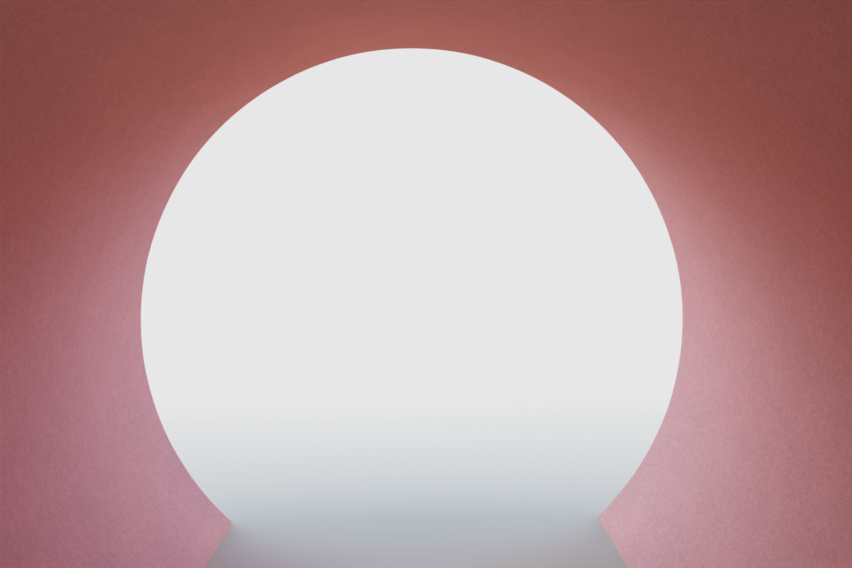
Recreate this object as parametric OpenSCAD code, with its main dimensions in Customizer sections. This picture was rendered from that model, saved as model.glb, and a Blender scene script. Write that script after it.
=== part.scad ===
// Moon gate: a free-standing block of masonry pierced by a round barrel passage, rendered all over
// and capped with stone coping.
// The origin is on the ground at the middle of the block. +Z is up, +Y looks out to the garden and
// the passage runs along Y.

/* [Passage] */
// Diameter of the finished passage
passage_d = 2800; // [2600:10:3000]
// Height of the passage's axis over the ground, which cuts off the foot of the circle
axis_h = 1040; // [900:10:1150]

/* [Wall] */
// Thickness of the finished block, which is the length of the passage
wall_t = 2000; // [1750:10:2600]
// Finished wall on each side of the passage, measured at the height of its axis
pier_w = 1400; // [900:10:2000]
// Masonry between the top of the ring and the coping bed
crown_cover = 435; // [250:5:700]
// Lifts of walling on each side, below the beam
lifts = 3; // [2:1:4]
// Depth by which the underside of the beam lies below the top of the ring
beam_drop = 105; // [60:5:160]

/* [Ring] */
// Radial depth of the masonry ring that turns the barrel
ring_t = 250; // [180:5:350]
// Ring courses between the two foot courses, an odd number so that one is at the crown
ring_courses = 11; // [7:2:13]
// Height of the foot courses at the back of the ring
foot_h = 140; // [80:5:220]

/* [Render] */
// Thickness of the render coat
render_t = 25; // [15:1:40]
// Radius of the rounded arrises of the render
arris_r = 8; // [3:1:12]
// Height at which the render stops above the ground
render_foot = 8; // [5:1:30]
// Clearance between curved faces that seat on each other
seat_gap = 0.3; // [0.2:0.1:0.6]

/* [Coping] */
// Thickness of the coping slabs
coping_t = 60; // [40:1:90]
// Slabs along each side of the ridge
coping_n = 8; // [5:1:9]
// Distance by which the coping stands out past the faces and the ends
coping_overhang = 45; // [36:1:80]
// Open joint between neighbouring slabs, and along the ridge
coping_joint = 6; // [4:1:12]
// Fall of the coping from the ridge to each face, in degrees
coping_fall = 2.5; // [1:0.5:6]
// Radius of the rounded upper edge of the coping
coping_arris = 6; // [2:1:12]
// Width of the half-round drip groove under the overhang
drip_w = 12; // [8:1:14]
// Distance from the edge of the slab to the drip groove
drip_in = 18; // [12:1:20]
// Thickness of the mortar bed at the faces of the wall
bed_t = 10; // [6:1:20]
// Distance by which the bed is struck back from the faces of the wall
bed_recess = 8; // [4:1:12]

/* [Hidden] */
$fn = 180;
// Length by which cutters run past what they cut
run_past = 1;
// Facets across a rounded arris
arris_facets = 3;

passage_r = passage_d / 2;
core_r = passage_r + render_t;
ring_r = core_r + ring_t;
wall_l = passage_d + 2 * pier_w;
wall_h = axis_h + ring_r + crown_cover;
core_l = wall_l - 2 * render_t;
core_t = wall_t - 2 * render_t;
beam_z = axis_h + ring_r - beam_drop;
lift_h = beam_z / lifts;

// Angles are measured from the crown
springer_angle = acos((foot_h - axis_h) / ring_r);
course_angle = 2 * springer_angle / ring_courses;
side_courses = (ring_courses - 1) / 2;

bed_half_t = wall_t / 2 - bed_recess;
coping_l = wall_l + 2 * coping_overhang;
slab_pitch = (coping_l + coping_joint) / coping_n;
slab_reach = (bed_recess + coping_overhang) / cos(coping_fall);

render_colour = "#c48d90";
masonry_colour = "#b59f8d";
stone_colour = "#d3cbc2";
mortar_colour = "#b8b0a6";

// A profile drawn around the passage's axis, run along the passage by depth
module along_passage(depth) {
    translate([0, 0, axis_h])
        rotate([90, 0, 0])
            linear_extrude(depth, center = true) children();
}

// A profile drawn in a cross-section of the wall, with its height as Y, run along the wall
module along_wall(length) {
    rotate([90, 0, 90])
        linear_extrude(length, center = true) children();
}

// What an arris rounded to radius r takes off a square corner at the origin, with the material
// below and to the right of it
module corner_waste(r) {
    difference() {
        translate([-run_past, -r]) square(r + run_past);
        translate([r, -r]) circle(r, $fn = 4 * arris_facets);
    }
}

// All of the profile plane that is more than lift above the ground
module above_ground(lift = 0) {
    translate([-wall_l / 2, lift - axis_h]) square([wall_l, wall_h]);
}

// One render coat of a long face, finished at half the wall's thickness, with its round edge
module face_coat() {
    color(render_colour)
        difference() {
            translate([-wall_l / 2, core_t / 2, render_foot])
                cube([wall_l, render_t, wall_h - render_foot]);
            along_passage(2 * wall_t) circle(passage_r);
            translate([0, 0, axis_h])
                rotate([-90, 0, 0])
                    rotate_extrude() translate([passage_r, wall_t / 2]) corner_waste(arris_r);
            for (side = [0, 1])
                mirror([side, 0, 0])
                    translate([-wall_l / 2, wall_t / 2, -run_past])
                        linear_extrude(wall_h + 2 * run_past) corner_waste(arris_r);
        }
}

// The render coat of one end, between the two face coats
module end_coat() {
    color(render_colour)
        translate([core_l / 2, -core_t / 2, render_foot])
            cube([render_t, core_t, wall_h - render_foot]);
}

// The render coat inside the barrel, between the two face coats
module passage_coat() {
    color(render_colour)
        along_passage(core_t)
            intersection() {
                difference() {
                    circle(core_r - seat_gap);
                    circle(passage_r);
                }
                above_ground(render_foot);
            }
}

// The part of the ring between two angles from the crown, which grow to the right
module ring_stone(from_angle, to_angle) {
    reach = 2 * ring_r;
    middle = (from_angle + to_angle) / 2;
    color(masonry_colour)
        along_passage(core_t)
            intersection() {
                difference() {
                    circle(ring_r);
                    circle(core_r);
                }
                polygon(concat(
                    [[0, 0]],
                    [for (a = [from_angle, middle, to_angle]) reach * [sin(a), cos(a)]]
                ));
                above_ground();
            }
}

// Course number i of the ring, counted from the one at the crown
module ring_course(i) {
    ring_stone((i - 0.5) * course_angle, (i + 0.5) * course_angle);
}

// The foot course of the ring, cut off by the ground
module ring_foot() {
    ring_stone(springer_angle, 180);
}

// A block of walling between two heights, cut round the back of the ring
module walling(x_from, x_to, z_from, z_to) {
    color(masonry_colour)
        difference() {
            translate([x_from, -core_t / 2, z_from])
                cube([x_to - x_from, core_t, z_to - z_from]);
            along_passage(2 * wall_t) circle(ring_r + seat_gap);
        }
}

// One lift of walling to the right of the ring, numbered from the ground
module wall_lift(i) {
    walling(0, core_l / 2, (i - 1) * lift_h, i * lift_h);
}

// The beam of walling that runs over the ring from end to end
module wall_top() {
    walling(-core_l / 2, core_l / 2, beam_z, wall_h);
}

// The mortar bed, laid to fall from the ridge to both faces
module coping_bed() {
    ridge_z = wall_h + bed_t + bed_half_t * tan(coping_fall);
    color(mortar_colour)
        along_wall(wall_l - 2 * bed_recess)
            polygon([
                [-bed_half_t, wall_h],
                [bed_half_t, wall_h],
                [bed_half_t, wall_h + bed_t],
                [0, ridge_z],
                [-bed_half_t, wall_h + bed_t]
            ]);
}

// Cross-section of a slab on the garden side, seated on the bed's fall
module slab_section() {
    intersection() {
        translate([bed_half_t, wall_h + bed_t])
            rotate(-coping_fall)
                difference() {
                    translate([-wall_t, 0]) square([wall_t + slab_reach, coping_t]);
                    translate([slab_reach, coping_t]) mirror([1, 0]) corner_waste(coping_arris);
                    translate([slab_reach - drip_in - drip_w / 2, 0]) circle(drip_w / 2);
                }
        translate([coping_joint / 2, wall_h]) square(2 * wall_t);
    }
}

// Coping slab number i on the garden side, counted from the left end
module coping_slab(i) {
    slab_l = slab_pitch - coping_joint;
    color(stone_colour)
        translate([(i - 1) * slab_pitch + (slab_l - coping_l) / 2, 0, 0])
            along_wall(slab_l) slab_section();
}

face_coat();  // garden_face_render
mirror([0, 1, 0]) face_coat();  // courtyard_face_render
mirror([1, 0, 0]) end_coat();  // left_end_render
end_coat();  // right_end_render
passage_coat();  // passage_render
ring_course(0);  // ring_crown
mirror([1, 0, 0]) ring_foot();  // ring_left_foot
ring_foot();  // ring_right_foot
wall_top();
coping_bed();
for (i = [1:side_courses]) {
    mirror([1, 0, 0]) ring_course(i);
    ring_course(i);
}
for (i = [1:lifts]) {
    mirror([1, 0, 0]) wall_lift(i);
    wall_lift(i);
}
for (i = [1:coping_n]) {
    coping_slab(i);
    mirror([0, 1, 0]) coping_slab(i);
}
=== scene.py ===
"""Moon gate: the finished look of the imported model.

The photograph is taken inside the round passage, and looks along +Y to the garden face's round edge.
All lengths are in metres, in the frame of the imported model.
"""

import math

import bmesh
import bpy
import numpy as np
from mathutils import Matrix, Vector, noise


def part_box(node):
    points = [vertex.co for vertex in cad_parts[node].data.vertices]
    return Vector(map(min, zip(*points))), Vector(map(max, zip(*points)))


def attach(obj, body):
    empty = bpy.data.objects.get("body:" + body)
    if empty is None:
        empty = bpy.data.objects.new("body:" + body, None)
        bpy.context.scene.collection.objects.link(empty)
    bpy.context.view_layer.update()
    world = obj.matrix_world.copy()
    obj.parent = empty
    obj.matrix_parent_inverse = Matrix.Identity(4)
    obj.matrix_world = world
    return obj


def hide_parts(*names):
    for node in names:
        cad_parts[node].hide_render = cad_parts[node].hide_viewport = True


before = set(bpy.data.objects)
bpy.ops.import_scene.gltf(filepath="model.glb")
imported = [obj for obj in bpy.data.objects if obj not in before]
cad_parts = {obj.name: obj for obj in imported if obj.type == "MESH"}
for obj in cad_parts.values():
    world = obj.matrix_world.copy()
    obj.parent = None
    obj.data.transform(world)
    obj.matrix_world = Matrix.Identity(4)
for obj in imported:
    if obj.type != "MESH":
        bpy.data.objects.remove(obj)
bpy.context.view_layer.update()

# Sizes of the wall, from the frame
face_low, face_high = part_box("garden_face_render")
HALF_L, HALF_T, WALL_TOP = face_high
FOOT_Z = face_low.z

# Sizes that the boxes don't give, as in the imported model
PASSAGE_R = 1.400
AXIS_H = 1.040
ARRIS_R = 0.008
COAT_T = 0.0245
COPING_T = 0.060
COPING_N = 8
COPING_JOINT = 0.006
COPING_FALL = math.radians(2.5)
COPING_ARRIS = 0.006
DRIP_R = 0.006
DRIP_FROM_EDGE = 0.024
BED_T = 0.010
BED_RECESS = 0.008

# The photograph's size, the point where lines along the passage meet in it, and its camera
PHOTO_W, PHOTO_H = 852, 568
VANISH_X, VANISH_Y = 421.0, 210.0
LENS_MM, SENSOR_MM = 24.0, 36.0
EYE_H = 1.604
EYE_X = 0.057
EYE_TO_GARDEN_EDGE = 2.942
EYE_ROLL = math.radians(0.93)

# Colours, as linear light
RENDER_PINK = (0.72, 0.36, 0.38)
SPLASH_BROWN = (0.40, 0.27, 0.22)
STONE_PALE = (0.55, 0.48, 0.41)
STONE_BEDS = (0.46, 0.40, 0.33)
STONE_PITS = (0.26, 0.22, 0.18)
MORTAR_SAND = (0.42, 0.37, 0.31)
MASONRY_BUFF = (0.30, 0.24, 0.18)

# How much the render's speckle changes red, green and blue: it is paler where there is more lime
LIME_SHARE = (0.55, 1.0, 1.1)

# Heights above the ground up to which the render's stained foot is full, and from which it is gone
SPLASH_FULL, SPLASH_GONE = 0.01, 0.04

# The two long sides, by the words for them in the nodes' names, and their signs along Y
SIDES = {"garden": 1, "courtyard": -1}


# Meshes

# Degrees between two faces from which the edge between them stays sharp
SHARP_FROM = 40
MORTAR_SHARP_FROM = 60

# How noise is laid out: its waves in one given length, and the step between two seeds' parts of it
NOISE_WAVES = 1.6
SEED_STEP = (17.3, 5.9, 11.1)

# Coordinates that are closer than this are the same, and a length too small to divide by
NEAR = 1e-5
TINY = 1e-9


class Shape:
    """Points and faces that are collected for one mesh."""

    def __init__(self):
        self.points = []
        self.faces = []

    def add(self, points):
        """Adds an array of points of any shape, and gives back their numbers in that shape."""
        points = np.asarray(points, float)
        first = len(self.points)
        self.points.extend(points.reshape(-1, 3).tolist())
        return np.arange(first, len(self.points)).reshape(points.shape[:-1])

    def quads(self, ids):
        """Joins a grid of point numbers by quads."""
        corners = [ids[:-1, :-1], ids[:-1, 1:], ids[1:, 1:], ids[1:, :-1]]
        self.faces.extend(np.stack(corners, -1).reshape(-1, 4).tolist())

    def polygon(self, *runs):
        """Adds one face whose outline is the given runs of point numbers, one after another."""
        self.faces.append([int(i) for run in runs for i in run])

    def box(self, grid):
        """Adds the skin of a bent block, from a grid of points (along, across, up, 3)."""
        ids = self.add(grid)
        for face in (ids[0], ids[-1], ids[:, 0], ids[:, -1], ids[:, :, 0], ids[:, :, -1]):
            self.quads(face)

    def finish(self, name, material, slot, sharp_from=SHARP_FROM):
        """Makes the object, with its loose points dropped and its normals outward."""
        mesh = bpy.data.meshes.new(name)
        mesh.from_pydata(self.points, [], self.faces)
        bm = bmesh.new()
        bm.from_mesh(mesh)
        bmesh.ops.delete(bm, geom=[v for v in bm.verts if not v.link_faces], context="VERTS")
        bmesh.ops.recalc_face_normals(bm, faces=bm.faces)
        bm.to_mesh(mesh)
        bm.free()
        mesh.shade_smooth()
        mesh.set_sharp_from_angle(angle=math.radians(sharp_from))
        mesh.materials.append(material)
        obj = bpy.data.objects.new(name, mesh)
        bpy.context.scene.collection.objects.link(obj)
        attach(obj, "root")
        return obj


def steps(start, end, size, margin=0.0):
    """Even steps of about a size from start to end, with a short step of the margin at each end."""
    count = max(1, round(abs(end - start) / size))
    values = np.linspace(start, end, count + 1)
    if margin:
        short = math.copysign(margin, end - start)
        values = np.concatenate(([start, start + short], values[1:-1], [end - short, end]))
    return values


def waves(points, length, seed, octaves=1):
    """Smooth noise from about -1 to 1 at each point, with waves of about the given length."""
    shift = Vector([seed * step for step in SEED_STEP])
    total = np.zeros(len(points))
    for octave in range(octaves):
        scale = NOISE_WAVES * 2**octave / length
        values = [noise.noise(Vector(p) * scale + shift) for p in points.tolist()]
        total += np.array(values) / 2**octave
    return total


def get_points(mesh):
    """All points of a mesh as an array."""
    flat = np.empty(len(mesh.vertices) * 3)
    mesh.vertices.foreach_get("co", flat)
    return flat.reshape(-1, 3)


def set_points(mesh, points):
    """Moves all points of a mesh."""
    mesh.vertices.foreach_set("co", points.ravel())
    mesh.update()


# The render coat: one skin over both faces, both ends and the passage

# How finely it is divided: columns along half the top and down one side, the same in all and on the
# bonded side, rows from the passage to a face's border, and the size of a cell on the ends and in
# the passage
TOP_COLUMNS = 78
SIDE_COLUMNS = 88
HALF_COLUMNS = TOP_COLUMNS + SIDE_COLUMNS
BONDED_COLUMNS = HALF_COLUMNS // 4
FACE_ROWS = 50
CELL = 0.023

# Steps round an arris, and the short step beside one
ARRIS_STEPS = 4
MARGIN = 0.004

# The waves that the float leaves: length and height
LONG_WAVE, LONG_HEIGHT = 0.62, 0.0016
MIDDLE_WAVE, MIDDLE_HEIGHT = 0.24, 0.0007
SHORT_WAVE, SHORT_HEIGHT = 0.10, 0.00022
MIDDLE_STRETCH = (1, 1, 0.8)


def quarter_turn(count):
    """(cosine, sine) of even steps from 0 to 90 degrees."""
    turn = np.linspace(0, math.pi / 2, count + 1)
    return np.stack([np.cos(turn), np.sin(turn)], 1)


def arch_row(radius, y, columns=HALF_COLUMNS):
    """A row round the passage, from its left foot over its crown to its right foot."""
    foot_angle = math.acos((FOOT_Z - AXIS_H) / radius)
    angles = np.linspace(-foot_angle, foot_angle, 2 * columns + 1)
    x = radius * np.sin(angles)
    z = AXIS_H + radius * np.cos(angles)
    return np.stack([x, np.full_like(x, y), z], 1)


def border_row(y):
    """A row up the left side of a face, along its top and down its right side."""
    column = np.arange(-HALF_COLUMNS, HALF_COLUMNS + 1)
    across = np.clip(column / TOP_COLUMNS, -1, 1)
    down = np.clip((np.abs(column) - TOP_COLUMNS) / SIDE_COLUMNS, 0, 1)
    x = across * (HALF_L - ARRIS_R)
    z = WALL_TOP - down * (WALL_TOP - FOOT_Z)
    return np.stack([x, np.full_like(x, y), z], 1)


def garden_rows():
    """Rows of the garden face, from the round arris to the face's border."""
    arris = [
        arch_row(PASSAGE_R + ARRIS_R * (1 - c), HALF_T - ARRIS_R * (1 - s))
        for c, s in quarter_turn(ARRIS_STEPS)
    ]
    inner = arch_row(PASSAGE_R + ARRIS_R + MARGIN, HALF_T)
    border = border_row(HALF_T)
    face = [inner + share * (border - inner) for share in np.linspace(0, 1, FACE_ROWS + 1)]
    return np.array(arris + face)


def end_line():
    """(x, y) points round the right end, from the garden face to the courtyard face."""
    centre = np.array([HALF_L - ARRIS_R, HALF_T - ARRIS_R])
    corner = centre + ARRIS_R * quarter_turn(ARRIS_STEPS)[:-1]
    straight = steps(corner[0][1], -corner[0][1], CELL, MARGIN)[1:-1]
    flat = np.stack([np.full_like(straight, HALF_L), straight], 1)
    return np.concatenate([corner[::-1], flat, corner * [1, -1]])


def coat_outside(shape):
    """Adds the outside of the coat, and gives back its point numbers: the rows from the courtyard
    border through the passage to the garden border, and the lines round the two ends."""
    garden = garden_rows()
    courtyard = garden[::-1] * [1, -1, 1]
    depth = HALF_T - ARRIS_R
    barrel = [arch_row(PASSAGE_R, y) for y in steps(-depth, depth, CELL, MARGIN)[1:-1]]
    rows = shape.add(np.concatenate([courtyard, barrel, garden]))
    shape.quads(rows)
    ends = []
    for side, columns in ((-1, np.arange(SIDE_COLUMNS + 1)), (1, np.arange(-SIDE_COLUMNS - 1, 0))):
        heights = border_row(HALF_T)[columns, 2]
        line = end_line() * [side, 1]
        grid = [[(x, y, z) for z in heights] for x, y in line]
        ids = np.concatenate([rows[-1:, columns], shape.add(grid), rows[:1, columns]])
        shape.quads(ids)
        ends.append(ids)
    return rows, ends


def coat_inside(shape):
    """Adds the side of the coat that is bonded to the masonry, and gives back its point numbers: the
    passage's two rows and the corners (side, face, foot or top)."""
    y = HALF_T - COAT_T
    x = HALF_L - COAT_T
    both = (-1, 1)
    heights = (FOOT_Z, WALL_TOP)
    arches = shape.add([arch_row(PASSAGE_R + COAT_T, face * y, BONDED_COLUMNS) for face in both])
    corners = shape.add([[[(side * x, face * y, z) for z in heights] for face in both] for side in both])
    shape.quads(arches)
    for face in (0, 1):
        shape.polygon(arches[face], corners[1, face], corners[0, face, ::-1])
    for side in (0, 1):
        shape.polygon(corners[side, 0], corners[side, 1, ::-1])
    return arches, corners


def coat_rims(shape, rows, ends, arches, corners):
    """Closes the coat at its two feet and along its top, between the outside and the inside."""
    middle = ARRIS_STEPS // 2
    arris = FACE_ROWS + 1 + middle
    for side, column in ((0, 0), (1, -1)):
        face_foot = [rows[: arris + 1, column], rows[: -arris - 2 : -1, column]]
        end_foot = ends[side][:, column]
        inner = [arches[0, column], arches[1, column]]
        outer = [corners[side, 0, 0], corners[side, 1, 0]]
        passage_foot = rows[arris : len(rows) - arris, column]
        shape.polygon(passage_foot, [inner[1], inner[0]])
        shape.polygon(end_foot[: middle + 1][::-1], face_foot[1][1:], [inner[1], outer[1]])
        shape.polygon(end_foot[-middle - 1 :], face_foot[0][1:], [inner[0], outer[0]])
        shape.polygon(end_foot[middle : len(end_foot) - middle], outer)
    left, right = SIDE_COLUMNS, 2 * HALF_COLUMNS - SIDE_COLUMNS
    end_top = [ends[0][:, -1], ends[1][:, 0]]
    top = [corners[0, :, 1], corners[1, :, 1]]
    for face, row in ((1, rows[-1]), (0, rows[0])):
        starts = [end[: middle + 1] if face else end[::-1][: middle + 1] for end in end_top]
        shape.polygon(starts[0][::-1], row[left + 1 : right], starts[1], [top[1][face], top[0][face]])
    for side in (0, 1):
        shape.polygon(end_top[side][middle : len(end_top[side]) - middle], top[side])


def coat_relief(points):
    """How far the floated surface stands proud of the true one: long hand-made waves and short ones."""
    long_waves = LONG_HEIGHT * waves(points, LONG_WAVE, seed=1)
    middle_waves = MIDDLE_HEIGHT * waves(points * MIDDLE_STRETCH, MIDDLE_WAVE, seed=2)
    short_waves = SHORT_HEIGHT * waves(points, SHORT_WAVE, seed=3)
    return long_waves + middle_waves + short_waves


def make_render_coat(material):
    """The pink lime render, on the faces, the ends and in the passage."""
    shape = Shape()
    rows, ends = coat_outside(shape)
    outside_count = len(shape.points)
    arches, corners = coat_inside(shape)
    coat_rims(shape, rows, ends, arches, corners)
    coat = shape.finish("render_coat", material, "lime_render")
    points = get_points(coat.data)
    normals = np.array([v.normal for v in coat.data.vertices])
    rim = (points[:, 2] < FOOT_Z + NEAR) | (points[:, 2] > WALL_TOP - NEAR)
    normals[rim, 2] = 0
    normals[rim] /= np.linalg.norm(normals[rim], axis=1, keepdims=True)
    outside = slice(0, outside_count)
    points[outside] += normals[outside] * coat_relief(points[outside])[:, None]
    set_points(coat.data, points)
    places = ("garden_face", "courtyard_face", "left_end", "right_end", "passage")
    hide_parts(*(f"{place}_render" for place in places))


# The coping: eased stone slabs, the mortar between them and the bed under them

BED_HALF_T = HALF_T - BED_RECESS
BED_HALF_L = HALF_L - BED_RECESS
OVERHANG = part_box(f"coping_garden_{COPING_N}")[1].x - HALF_L
SLAB_REACH = (BED_RECESS + OVERHANG) / math.cos(COPING_FALL)
SLAB_WIDTH = SLAB_REACH + (BED_HALF_T - COPING_JOINT / 2) / math.cos(COPING_FALL)
DRIP_ACROSS = SLAB_WIDTH - DRIP_FROM_EDGE

# How finely a slab is divided: the first places in from an edge, the size of a cell along and across
# it, and the points across its drip groove
EDGE_STATIONS = np.array([0, 0.0012, 0.003, 0.006, 0.010])
STONE_CELL_ALONG = 0.015
STONE_CELL_ACROSS = 0.030
GROOVE_POINTS = 9

# The ease of a slab's edges, how far in from an open edge the points take its larger one, the shares
# of both that are always there and that wear adds at most, and the length of the waves of wear
STONE_EASE = 0.0022
OPEN_REACH = 4 * COPING_ARRIS
EASE_LEAST, EASE_WORN = 0.7, 0.6
ARRIS_LEAST, ARRIS_WORN = 0.75, 0.5
WEAR_WAVE = 0.16
WEAR_STRETCH = (1, 1, 0.2)

# How uneven a slab's top is, how low and how far in a slab may lie, and the seed that sets that
SAW_WAVE, SAW_HEIGHT = 0.33, 0.0004
SEAT_DROP = 0.0012
SEAT_SHIFT = 0.0005
SEAT_SEED = 7


def on_slope(side, x, out, up):
    """Points of one side's fall: out from the bed's edge and up from the bed's surface."""
    y = BED_HALF_T + out * math.cos(COPING_FALL) + up * math.sin(COPING_FALL)
    z = WALL_TOP + BED_T - out * math.sin(COPING_FALL) + up * math.cos(COPING_FALL)
    x, y, z = np.broadcast_arrays(x, side * y, z)
    return np.stack([x, y, z], -1)


def stations(length, cell, extra=()):
    """Places across a block, close together at its edges, with any extra ones that are given."""
    inner = steps(EDGE_STATIONS[-1], length - EDGE_STATIONS[-1], cell)[1:-1]
    if len(extra):
        inner = inner[(inner < min(extra) - cell / 3) | (inner > max(extra) + cell / 3)]
    places = [EDGE_STATIONS, inner, np.asarray(extra, float), length - EDGE_STATIONS]
    return np.sort(np.concatenate(places))


def eased(points, size, ease):
    """Points of a square block, moved so that its edges are rounded by ease, which varies by point."""
    core = np.clip(points, ease, size - ease)
    away = points - core
    reach = np.linalg.norm(away, axis=-1, keepdims=True)
    return core + away * ease / np.maximum(reach, TINY)


def drip_groove(across):
    """Height of the half-round drip groove at each place across a slab."""
    return np.sqrt(np.clip(DRIP_R**2 - (across - DRIP_ACROSS) ** 2, 0, None))


def stone_ease(points, size, open_low, open_high, seed):
    """How much each point's edge is eased: more along the open upper arrises, and worn unevenly."""
    x, across, up = points[..., 0], points[..., 1], points[..., 2]
    flat = points.reshape(-1, 3) * WEAR_STRETCH
    wear = (0.5 + 0.5 * waves(flat, WEAR_WAVE, seed, octaves=2).reshape(x.shape)).clip(0, 1)
    upper = up > size[2] / 2
    low_end = open_low & (x < OPEN_REACH)
    high_end = open_high & (x > size[0] - OPEN_REACH)
    open_edge = upper & ((across > size[1] - OPEN_REACH) | low_end | high_end)
    ease = STONE_EASE * (EASE_LEAST + EASE_WORN * wear)
    arris = COPING_ARRIS * (ARRIS_LEAST + ARRIS_WORN * wear**2)
    return np.where(open_edge, arris, ease)[..., None]


def make_slab(side_name, side, i, rng, material):
    """One coping slab, bedded on its side's fall, with a drip groove under its overhang."""
    node = f"coping_{side_name}_{i}"
    low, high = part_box(node)
    size = np.array([high.x - low.x, SLAB_WIDTH, COPING_T])
    groove = DRIP_ACROSS + DRIP_R * np.cos(np.linspace(0, math.pi, GROOVE_POINTS))
    xs = stations(size[0], STONE_CELL_ALONG)
    across = stations(size[1], STONE_CELL_ACROSS, groove)
    ups = stations(size[2], size[2] / 2)
    grid = np.stack(np.meshgrid(xs, across, ups, indexing="ij"), -1)
    wear_seed = 10 * i + side
    grid = eased(grid, size, stone_ease(grid, size, i == 1, i == COPING_N, wear_seed))
    x, across, up = grid[..., 0], grid[..., 1], grid[..., 2]
    up = up + drip_groove(across) * (1 - up / size[2])
    ridge_lean = (1 - across / SLAB_WIDTH) * up * math.tan(COPING_FALL)
    saw_seed = 40 + 2 * i + side
    saw_waves = waves(grid.reshape(-1, 3) * [1, 1, 0], SAW_WAVE, saw_seed, octaves=2).reshape(x.shape)
    drop = rng.uniform(0, SEAT_DROP) + SAW_HEIGHT * (1 + saw_waves) * (up > size[2] / 2)
    shift = rng.uniform(-1, 0) * SEAT_SHIFT
    out = across + SLAB_REACH - SLAB_WIDTH - ridge_lean + shift
    shape = Shape()
    shape.box(on_slope(side, low.x + x, out, up - drop))
    slab = shape.finish(f"coping_stone_{side_name}_{i}", material, "coping_stone")
    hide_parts(node)


def make_coping(material):
    """All coping slabs, each bedded a little differently."""
    rng = np.random.default_rng(SEAT_SEED)
    for side_name, side in SIDES.items():
        for i in range(1, COPING_N + 1):
            make_slab(side_name, side, i, rng, material)


# The pointing: the size of its cells along a joint, its places across a joint and up it as shares,
# how far it goes into the stone beside it, how far its struck top lies below the stone's top at the
# edges and how much lower in the middle, and how rough that top is
POINTING_CELL = 0.012
POINTING_ACROSS = np.array([-1, -0.5, 0, 0.5, 1])
POINTING_UP = np.array([0.0, 0.5, 1.0])
POINTING_BITE = 0.0006
POINTING_HALF_W = COPING_JOINT / 2 + POINTING_BITE
POINTING_LOW = 0.0035
POINTING_HOLLOW = 0.0012
POINTING_WAVE, POINTING_ROUGH = 0.045, 0.0007


def pointing_low(x, y, share):
    """How far the struck mortar lies below the stone: hollow in the middle, and rough."""
    places = np.stack([x, y, x * 0], -1).reshape(-1, 3)
    rough = POINTING_ROUGH * waves(places, POINTING_WAVE, seed=61, octaves=2).reshape(x.shape)
    return POINTING_LOW + POINTING_HOLLOW * (1 - share**2) + rough


def make_pointing(material):
    """The mortar in all joints between the slabs, struck back a little from their faces."""
    shape = Shape()
    run = steps(SLAB_REACH - SLAB_WIDTH, SLAB_REACH - POINTING_LOW, POINTING_CELL)
    out, share, level = np.meshgrid(run, POINTING_ACROSS, POINTING_UP, indexing="ij")
    for side_name, side in SIDES.items():
        for i in range(1, COPING_N):
            joint_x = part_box(f"coping_{side_name}_{i}")[1].x + COPING_JOINT / 2
            x = joint_x + share * POINTING_HALF_W
            height = COPING_T - pointing_low(x, side * out, share)
            shape.box(on_slope(side, x, out, level * height))
    end_x = HALF_L + OVERHANG - POINTING_LOW
    run = steps(-end_x, end_x, POINTING_CELL)
    x, share, level = np.meshgrid(run, POINTING_ACROSS, POINTING_UP, indexing="ij")
    y = share * POINTING_HALF_W
    height = COPING_T / math.cos(COPING_FALL) - pointing_low(x, y, share)
    ridge_z = WALL_TOP + BED_T + BED_HALF_T * math.tan(COPING_FALL)
    shape.box(np.stack([x, y, ridge_z + level * height], -1))
    shape.finish("coping_pointing", material, "mortar", MORTAR_SHARP_FROM)


# The bed: the size of its cells round the edge, the levels of its rows as shares of its height, how
# far its struck edge goes in from foot to top, and how rough that edge is
BED_CELL = 0.009
BED_LEVELS = (0, 0.33, 0.67, 1)
BED_STRUCK = 0.0015
BED_WAVE, BED_ROUGH = 0.03, 0.0013


def rectangle_loop(half_x, half_y, cell):
    """Points round a rectangle, from the middle of its left side, with one at each corner and one at
    the middle of its right side."""
    along_y = steps(0, half_y, cell)
    along_x = steps(-half_x, half_x, cell)
    quarter = [(-half_x, y) for y in along_y[:-1]]
    top = [(x, half_y) for x in along_x[:-1]]
    right = [(half_x, y) for y in along_y[:0:-1]]
    upper = np.array(quarter + top + right)
    return np.concatenate([upper, [(half_x, 0)], upper[:0:-1] * [1, -1]])


def make_bed(material):
    """The bed mortar, with its edge struck off under the slabs."""
    shape = Shape()
    loop = rectangle_loop(BED_HALF_L, BED_HALF_T, BED_CELL)
    rows = []
    for level in BED_LEVELS:
        points = np.column_stack([loop, np.full(len(loop), WALL_TOP + level * BED_T)])
        struck = BED_ROUGH * waves(points, BED_WAVE, 71 + level, octaves=2) - BED_STRUCK * level
        at_end = np.abs(loop[:, 0]) > BED_HALF_L - NEAR
        x = loop[:, 0] + np.sign(loop[:, 0]) * struck * at_end
        y = loop[:, 1] * (1 + struck / BED_HALF_T)
        top = BED_T + (BED_HALF_T - np.abs(y)) * math.tan(COPING_FALL)
        rows.append(np.column_stack([x, y, WALL_TOP + level * top]))
    ids = shape.add(np.array(rows))
    ids = np.column_stack([ids, ids[:, :1]])
    shape.quads(ids)
    half = len(loop) // 2
    shape.polygon(ids[0, :-1])
    shape.polygon(ids[-1, : half + 1])
    shape.polygon(ids[-1, half:])
    bed = shape.finish("bed_mortar", material, "mortar", MORTAR_SHARP_FROM)
    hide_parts("coping_bed")


# Materials

# The range that most of a noise keeps to, and the wider one of a bent noise
NOISE_RANGE = (0.3, 0.7)
BENT_RANGE = (0.25, 0.75)

# What tells blocks in a row apart: a scale across the row at which each side is one block, and how
# far apart two neighbours' parts of the pattern are
SIDE_SCALE = 0.1
BLOCK_STEP = (7.3, 3.1, 5.7)


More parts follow.
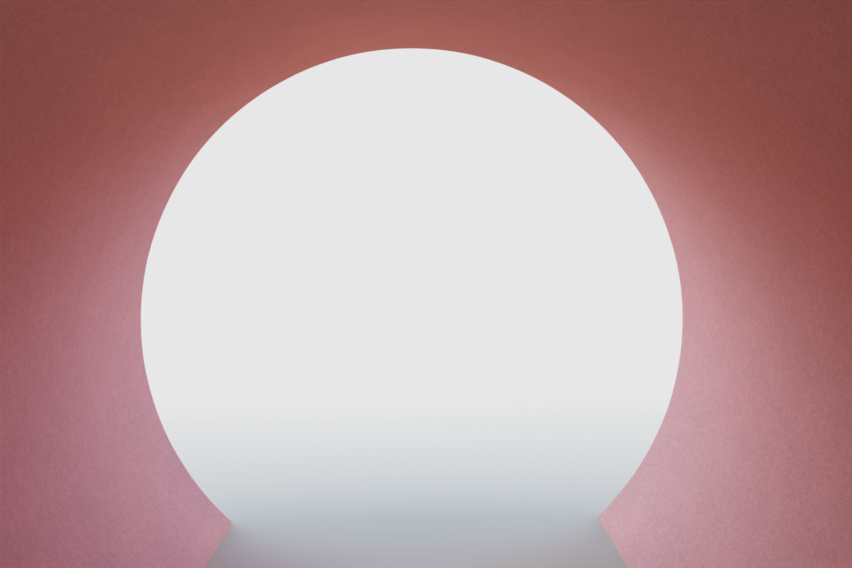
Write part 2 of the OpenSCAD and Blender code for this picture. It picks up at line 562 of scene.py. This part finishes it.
def put(tree, kind, inputs=None, **settings):
    """Adds a shader node with its settings, and with inputs that are values or other nodes' outputs."""
    made = tree.nodes.new("ShaderNode" + kind)
    for key, value in settings.items():
        setattr(made, key, value)
    for key, value in (inputs or {}).items():
        if isinstance(value, bpy.types.NodeSocket):
            tree.links.new(value, made.inputs[key])
        else:
            made.inputs[key].default_value = value
    return made


def number(tree, operation, first, second):
    """One step of arithmetic on numbers."""
    return put(tree, "Math", {0: first, 1: second}, operation=operation).outputs[0]


def vector(tree, operation, *values):
    """One step of arithmetic on vectors or colours."""
    return put(tree, "VectorMath", dict(enumerate(values)), operation=operation).outputs[0]


def scaled(tree, colour, factor):
    """A colour made stronger or weaker by a factor."""
    return put(tree, "VectorMath", {0: colour, "Scale": factor}, operation="SCALE").outputs[0]


def eased_range(tree, value, from_low, from_high, to_low=0.0, to_high=1.0):
    """A value's range mapped smoothly to another, and held at its ends."""
    inputs = {
        "Value": value,
        "From Min": from_low,
        "From Max": from_high,
        "To Min": to_low,
        "To Max": to_high,
    }
    return put(tree, "MapRange", inputs, interpolation_type="SMOOTHSTEP").outputs[0]


class Finish:
    """A material whose colour, relief and roughness are built up in layers."""

    def __init__(self, name, colour, roughness, specular):
        self.material = bpy.data.materials.new(name)
        self.material.use_nodes = True
        self.tree = self.material.node_tree
        self.shader = self.tree.nodes["Principled BSDF"]
        self.shader.inputs["Specular IOR Level"].default_value = specular
        self.shader.inputs["Roughness"].default_value = roughness
        self.place = put(self.tree, "TexCoord").outputs["Object"]
        self.colour = put(self.tree, "RGB").outputs[0]
        self.colour.default_value = (*colour, 1)
        self.height = None

    def stretched(self, scale, turn=(0, 0, 0)):
        """The place on the object, turned and stretched."""
        inputs = {"Vector": self.place, "Scale": scale, "Rotation": turn}
        return put(self.tree, "Mapping", inputs).outputs[0]

    def noise(self, length, detail=2.0, rough=0.5, place=None, bend=0.0):
        """Noise from 0 to 1 whose patches are about the given length across."""
        inputs = {
            "Vector": place or self.place,
            "Scale": 1 / length,
            "Detail": detail,
            "Roughness": rough,
            "Distortion": bend,
        }
        return put(self.tree, "TexNoise", inputs).outputs["Fac"]

    def stones(self, length):
        """How far each place is from the joints between rough stones of about the given length."""
        inputs = {"Vector": self.place, "Scale": 1 / length}
        return put(self.tree, "TexVoronoi", inputs, feature="DISTANCE_TO_EDGE").outputs[0]

    def per_block(self, pitch, start):
        """Gives each block of a row its own part of the pattern, and gives back a number from 0 to 1
        for it."""
        scale = (1 / pitch, SIDE_SCALE, 0)
        inputs = {"Vector": self.place, "Location": (-start / pitch, 0, 0), "Scale": scale}
        block = vector(self.tree, "FLOOR", put(self.tree, "Mapping", inputs).outputs[0])
        self.place = vector(self.tree, "MULTIPLY_ADD", block, BLOCK_STEP, self.place)
        return put(self.tree, "TexWhiteNoise", {"Vector": block}, noise_dimensions="3D").outputs["Value"]

    def ramp(self, value, from_low, from_high, to_low, to_high):
        """A value's range mapped smoothly to another."""
        return eased_range(self.tree, value, from_low, from_high, to_low, to_high)

    def low_down(self, full, gone):
        """1 up to one height above the ground, and 0 from another."""
        z = put(self.tree, "SeparateXYZ", {0: self.place}).outputs["Z"]
        return self.ramp(z, full, gone, 1, 0)

    def times(self, first, second):
        """The product of two values."""
        return number(self.tree, "MULTIPLY", first, second)

    def tint(self, factor, colour):
        """Mixes a colour over what is there, by a factor from 0 to 1."""
        mix = put(self.tree, "Mix", {0: factor, 6: self.colour, 7: (*colour, 1)}, data_type="RGBA")
        self.colour = mix.outputs[2]

    def shade(self, value, dark, light, within=NOISE_RANGE, share=None):
        """Multiplies the colour by dark where a value is low in the range that it keeps within, and by
        light where it is high. A share says how much of that red, green and blue take."""
        factor = self.ramp(value, *within, dark, light)
        if share:
            rest = tuple(1 - part for part in share)
            factor = vector(self.tree, "MULTIPLY_ADD", factor, share, rest)
        self.colour = vector(self.tree, "MULTIPLY", self.colour, factor)

    def raise_by(self, value, height):
        """Adds relief, of the given height in metres where the value is 1."""
        step = self.times(value, height)
        self.height = number(self.tree, "ADD", self.height, step) if self.height else step

    def finish(self):
        """Joins the layers to the shader, and gives back the material."""
        bump = put(self.tree, "Bump", {"Height": self.height, "Strength": 1.0, "Distance": 1.0})
        self.tree.links.new(bump.outputs[0], self.shader.inputs["Normal"])
        self.tree.links.new(self.colour, self.shader.inputs["Base Color"])
        return self.material


def lime_render():
    """Pink lime render, finished with a sponge float, and a little stained at its foot."""
    f = Finish("lime_render", RENDER_PINK, roughness=0.92, specular=0.25)
    clouds = f.noise(0.9, detail=3, rough=0.55)
    patches = f.noise(0.17, detail=4, rough=0.6)
    mottle = f.noise(0.022, detail=3, rough=0.6, place=f.stretched((1, 1, 0.7)), bend=0.3)
    stipple = f.noise(0.0095, detail=3, rough=0.65)
    grain = f.noise(0.0030, detail=2, rough=0.6)
    f.shade(clouds, dark=0.975, light=1.025)
    f.shade(patches, dark=0.98, light=1.02)
    f.shade(mottle, dark=0.96, light=1.04, within=BENT_RANGE, share=LIME_SHARE)
    f.shade(stipple, dark=0.915, light=1.08, share=LIME_SHARE)
    f.shade(grain, dark=0.95, light=1.05, share=LIME_SHARE)
    stain = f.ramp(patches, 0.35, 0.65, 0.02, 0.14)
    f.tint(f.times(f.low_down(SPLASH_FULL, SPLASH_GONE), stain), SPLASH_BROWN)
    f.raise_by(grain, height=0.0003)
    f.raise_by(stipple, height=0.0008)
    f.raise_by(mottle, height=0.0012)
    return f.finish()


def coping_stone():
    """Pale honed limestone with faint beds and small pits, a little different in each slab."""
    f = Finish("coping_stone", STONE_PALE, roughness=0.75, specular=0.35)
    first_x = -HALF_L - OVERHANG
    pitch = (COPING_JOINT - 2 * first_x) / COPING_N
    f.shade(f.per_block(pitch, first_x), dark=0.92, light=1.06, within=(0, 1))
    along = f.stretched((0.16, 1, 1), turn=(0, 0, 0.5))
    beds = f.noise(0.035, detail=4, rough=0.6, place=along, bend=0.6)
    clouds = f.noise(0.5, detail=4, rough=0.6)
    speckle = f.noise(0.004, detail=3, rough=0.7)
    pits = f.ramp(f.noise(0.007, detail=1, rough=0.5), 0.68, 0.76, 0, 1)
    f.tint(f.ramp(beds, 0.45, 0.72, 0, 0.4), STONE_BEDS)
    f.shade(clouds, dark=0.92, light=1.07)
    f.shade(speckle, dark=0.94, light=1.05)
    f.tint(f.times(pits, 0.5), STONE_PITS)
    f.raise_by(pits, height=-0.0012)
    f.raise_by(speckle, height=0.0004)
    f.raise_by(beds, height=0.0005)
    return f.finish()


def mortar():
    """Sandy lime mortar."""
    f = Finish("mortar", MORTAR_SAND, roughness=0.95, specular=0.2)
    sand = f.noise(0.0018, detail=2, rough=0.7)
    clumps = f.noise(0.012, detail=3, rough=0.6)
    f.shade(sand, dark=0.8, light=1.15)
    f.shade(clumps, dark=0.9, light=1.08)
    f.raise_by(sand, height=0.0007)
    f.raise_by(clumps, height=0.0015)
    return f.finish()


def masonry():
    """Rough stone and mortar under the render."""
    f = Finish("masonry", MASONRY_BUFF, roughness=0.95, specular=0.2)
    joints = f.ramp(f.stones(1 / 6), 0.02, 0.07, 1, 0)
    rough = f.noise(0.02, detail=5, rough=0.65)
    f.shade(rough, dark=0.75, light=1.2)
    f.tint(f.times(joints, 0.8), MORTAR_SAND)
    f.raise_by(joints, height=-0.004)
    f.raise_by(rough, height=0.004)
    return f.finish()


# Studio: a pale floor that runs into a pale background, a soft sky and one high lamp

BACKDROP = (0.80, 0.80, 0.80)
FLOOR_R = 40.0
FLOOR_SIDES = 96

# The floor's two colours, which even out the warm lamp on the courtyard's side and the cool sky on
# the other, and where along Y the one gives way to the other
COURTYARD_FLOOR = (0.54, 0.53, 0.54)
GARDEN_FLOOR = (0.65, 0.56, 0.51)
FLOOR_TURN = (-0.4, 0.6)

# How much of the floor's own shading is left at each metre further outside the block; the rest is
# the backdrop's plain colour
FLOOR_KEPT = 0.25

# Light off the ground: its colours on the courtyard's side and on the other, where along Y the one
# gives way to the other, and how far outside the block it comes in
COURTYARD_GROUND = (0.18, 0.10, 0.08)
GARDEN_GROUND = (0.96, 0.58, 0.45)
GROUND_TURN = (-0.8, 0.8)
GROUND_OPEN = (0.0, 1.5)

# Light off the ground in the passage's mouth on +Y: its colour, where along Y it comes in, and how
# far outside the block it is gone
SILL_GROUND = (1.30, 1.15, 0.62)
SILL_START = (0.3, 1.0)
SILL_GONE = (0.0, 0.3)


def seen_directly(tree):
    """1 for rays from the camera and for mirrored or refracted ones, and 0 for the rest."""
    path = put(tree, "LightPath")
    seen = path.outputs["Is Camera Ray"]
    for name in ("Is Glossy Ray", "Is Transmission Ray"):
        seen = number(tree, "MAXIMUM", seen, path.outputs[name])
    return seen


def changing(tree, value, turn, first, second):
    """A colour that gives way to another between the two values of the turn."""
    colours = {0: eased_range(tree, value, *turn), 6: (*first, 1), 7: (*second, 1)}
    return put(tree, "Mix", colours, data_type="RGBA").outputs[2]


def outside_block(tree, place):
    """How far a place on the ground is outside the block's outline."""
    folded = vector(tree, "ABSOLUTE", place)
    past = vector(tree, "SUBTRACT", folded, (HALF_L, HALF_T, 0))
    past = vector(tree, "MAXIMUM", past, (0, 0, 0))
    return put(tree, "VectorMath", {0: past}, operation="LENGTH").outputs["Value"]


def pale_floor(tree, reach, y):
    """The floor that is seen: pale, with the block's shadow near it and the backdrop's colour far off."""
    colour = changing(tree, y, FLOOR_TURN, COURTYARD_FLOOR, GARDEN_FLOOR)
    near = put(tree, "BsdfDiffuse", {"Color": colour}).outputs[0]
    far = put(tree, "Emission", {"Color": (*BACKDROP, 1), "Strength": 1.0}).outputs[0]
    kept = number(tree, "POWER", FLOOR_KEPT, reach)
    return put(tree, "MixShader", {0: kept, 1: far, 2: near}).outputs[0]


def ground_light(tree, reach, y):
    """The warm light that comes up off the ground outside the block and in the passage's mouth."""
    colour = changing(tree, y, GROUND_TURN, COURTYARD_GROUND, GARDEN_GROUND)
    outside = scaled(tree, colour, eased_range(tree, reach, *GROUND_OPEN))
    near = number(tree, "SUBTRACT", 1.0, eased_range(tree, reach, *SILL_GONE))
    mouth = scaled(tree, SILL_GROUND, number(tree, "MULTIPLY", near, eased_range(tree, y, *SILL_START)))
    light = vector(tree, "ADD", outside, mouth)
    return put(tree, "Emission", {"Color": light, "Strength": 1.0}).outputs[0]


def make_floor():
    """A round floor that is pale where it is seen, and lights the block from below."""
    turns = np.linspace(0, 2 * math.pi, FLOOR_SIDES + 1)[:-1]
    rim = [(FLOOR_R * math.cos(turn), FLOOR_R * math.sin(turn), 0) for turn in turns]
    mesh = bpy.data.meshes.new("floor")
    mesh.from_pydata(rim, [], [range(FLOOR_SIDES)])
    floor = bpy.data.objects.new("floor", mesh)
    bpy.context.scene.collection.objects.link(floor)
    material = bpy.data.materials.new("floor")
    material.use_nodes = True
    tree = material.node_tree
    tree.nodes.clear()
    place = put(tree, "TexCoord").outputs["Object"]
    reach = outside_block(tree, place)
    y = put(tree, "SeparateXYZ", {0: place}).outputs["Y"]
    layers = {0: seen_directly(tree), 1: ground_light(tree, reach, y), 2: pale_floor(tree, reach, y)}
    surface = put(tree, "MixShader", layers).outputs[0]
    put(tree, "OutputMaterial", {"Surface": surface})
    mesh.materials.append(material)


# The sky's soft lights: degrees off the line along the passage, degrees that they are turned from
# straight up to the right, and colour
SOFT_LIGHTS = {
    "left_low": (58, -62, (3.30, 1.20, 0.95)),
    "left_wide": (74, -62, (2.00, 5.00, 5.60)),
    "left_high": (66, -42, (1.55, 3.95, 4.90)),
    "right_low": (58, 62, (1.80, 0.20, 0.60)),
    "right_wide": (74, 62, (1.45, 4.15, 4.80)),
    "right_high": (66, 42, (1.55, 2.05, 2.95)),
}

# How far from its middle a soft light is full and gone, and the light of the rest of the sky
LIGHT_FULL, LIGHT_GONE = math.radians(3), math.radians(26)
SKY_BASE = (0.02, 0.015, 0.01)


def make_sky():
    """Soft light from the +Y side and from above, with a plain pale background."""
    world = bpy.data.worlds.new("sky")
    bpy.context.scene.world = world
    world.use_nodes = True
    tree = world.node_tree
    tree.nodes.clear()
    direction = put(tree, "TexCoord").outputs["Generated"]
    light = put(tree, "CombineXYZ", dict(enumerate(SKY_BASE))).outputs[0]
    for off, turn, colour in SOFT_LIGHTS.values():
        off, turn = math.radians(off), math.radians(turn)
        axis = (math.sin(off) * math.sin(turn), math.cos(off), math.sin(off) * math.cos(turn))
        facing = put(tree, "VectorMath", {0: direction, 1: axis}, operation="DOT_PRODUCT")
        share = eased_range(tree, facing.outputs["Value"], math.cos(LIGHT_GONE), math.cos(LIGHT_FULL))
        light = vector(tree, "ADD", light, scaled(tree, colour, share))
    plain = put(tree, "Background", {"Color": (*BACKDROP, 1), "Strength": 1.0}).outputs[0]
    glowing = put(tree, "Background", {"Color": light, "Strength": 1.0}).outputs[0]
    surface = put(tree, "MixShader", {0: seen_directly(tree), 1: glowing, 2: plain}).outputs[0]
    put(tree, "OutputWorld", {"Surface": surface})


# The lamp: its height over the horizon, its strength, how wide it is in the sky, and its colour
LAMP_ELEVATION = math.radians(62)
LAMP_STRENGTH = 3.1
LAMP_SPREAD = math.radians(14)
LAMP_COLOUR = (1.0, 0.90, 0.80)


def make_lamp():
    """A high lamp on the courtyard's side, too steep to shine far into the passage."""
    data = bpy.data.lights.new("courtyard_lamp", "SUN")
    data.energy = LAMP_STRENGTH
    data.angle = LAMP_SPREAD
    data.color = LAMP_COLOUR
    lamp = bpy.data.objects.new("courtyard_lamp", data)
    lamp.rotation_euler = (math.pi / 2 - LAMP_ELEVATION, 0, 0)
    bpy.context.scene.collection.objects.link(lamp)


def make_camera():
    """A camera along the passage, rolled a little, and shifted so that the horizon is where the photo
    has it."""
    data = bpy.data.cameras.new("camera")
    data.lens, data.sensor_width, data.sensor_fit = LENS_MM, SENSOR_MM, "HORIZONTAL"
    data.shift_x = (PHOTO_W / 2 - VANISH_X) / PHOTO_W
    data.shift_y = (VANISH_Y - PHOTO_H / 2) / PHOTO_W
    camera = bpy.data.objects.new("camera", data)
    camera.location = (EYE_X, HALF_T - EYE_TO_GARDEN_EDGE, EYE_H)
    camera.rotation_euler = (math.pi / 2, EYE_ROLL, 0)
    bpy.context.scene.collection.objects.link(camera)
    bpy.context.scene.camera = camera


def dress_masonry(material):
    """Gives the masonry nodes, seen only where the coat stops above the ground, their finish."""
    for name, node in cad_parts.items():
        if name.startswith(("ring_", "wall_")):
            node.data.materials.clear()
            node.data.materials.append(material)


make_camera()
make_render_coat(lime_render())
make_coping(coping_stone())
mortar_finish = mortar()
make_pointing(mortar_finish)
make_bed(mortar_finish)
dress_masonry(masonry())
make_floor()
make_sky()
make_lamp()
bpy.context.scene.view_settings.view_transform = "Standard"

bpy.context.view_layer.update()
